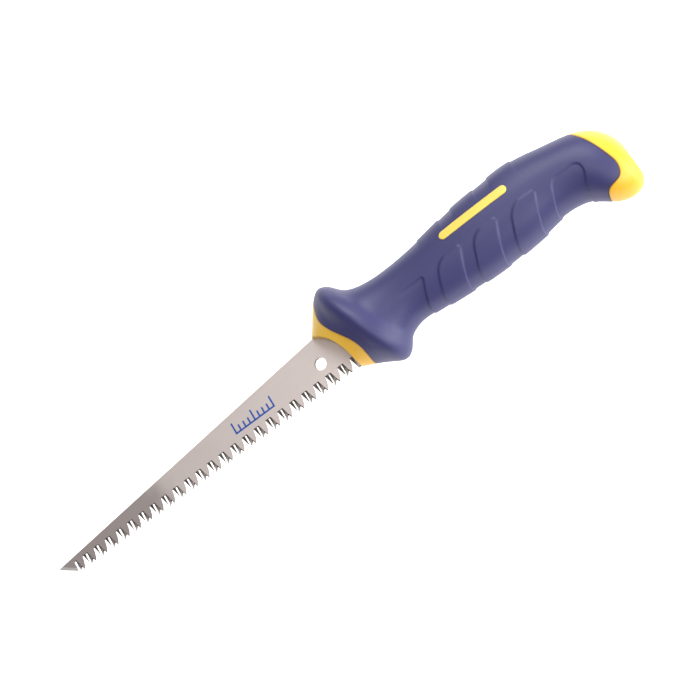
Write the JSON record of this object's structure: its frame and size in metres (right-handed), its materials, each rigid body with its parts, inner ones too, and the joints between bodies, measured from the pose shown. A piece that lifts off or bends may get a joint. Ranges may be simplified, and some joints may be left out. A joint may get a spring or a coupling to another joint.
{
  "type": "drywall saw",
  "caption": "Fixed-blade drywall jab saw: a tapered blade with a sharpened point and side-ground teeth in a two-tone handle with a finger guard and a hooked butt.",
  "frame": {"origin": "centre of the hang hole, on the blade's middle plane", "axes": "+X along the tooth line from the blade's tip to the butt of the handle, +Y in the blade's plane from the teeth to the back edge, +Z out of the blade's flat; the saw lies on its side"},
  "size_m": [0.3073, 0.0487, 0.034],
  "materials": {
    "blade_steel": "fine satin, hardened teeth darker",
    "pin_steel": "plain turned",
    "core_plastic": "as moulded",
    "collar_plastic": "satin moulded",
    "cap_plastic": "satin moulded",
    "grip_rubber": "soft matt",
    "accent_plastic": "as moulded"
  },
  "bodies": {
    "root": {"blade": "blade_steel", "tang_pin_front": "pin_steel", "tang_pin_rear": "pin_steel", "core_left": "core_plastic", "core_right": "core_plastic", "front_collar": "collar_plastic", "butt_cap": "cap_plastic", "grip": "grip_rubber", "accent_left": "accent_plastic", "accent_right": "accent_plastic"}
  },
  "joints": []
}
